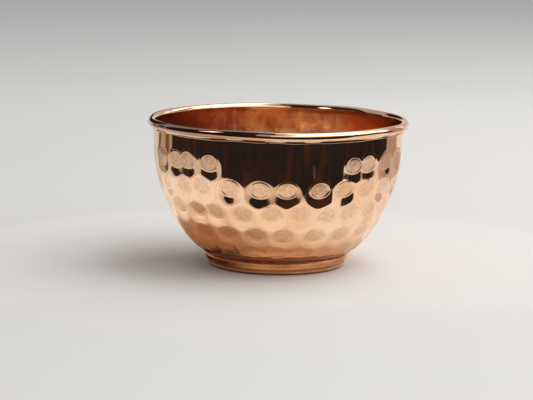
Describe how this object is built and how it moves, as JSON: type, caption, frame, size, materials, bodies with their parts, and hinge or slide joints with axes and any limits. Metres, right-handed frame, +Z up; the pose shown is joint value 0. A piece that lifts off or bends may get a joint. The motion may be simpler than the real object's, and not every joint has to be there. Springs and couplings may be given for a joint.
{
  "type": "hammered copper bowl",
  "caption": "Small round bowl of hammered copper sheet with an outward rolled, wired rim and a low flared foot ring brazed underneath.",
  "frame": {"origin": "centre of the circle on which the foot ring stands", "axes": "+Z up along the bowl's axis; the bowl is round, so +X and +Y are any two level directions"},
  "size_m": [0.12, 0.12, 0.068],
  "materials": {
    "polished_copper": "mirror-polished copper, hammered in round dimples, with hairline scratches",
    "wire_copper": "drawn copper wire, dull",
    "satin_copper": "satin copper with fine upright file marks",
    "braze": "cast brazing alloy, slightly pitted and darkened"
  },
  "bodies": {
    "root": {"bowl_shell": "polished_copper", "rim_wire": "wire_copper", "foot_ring": "satin_copper", "foot_braze": "braze"}
  },
  "joints": []
}
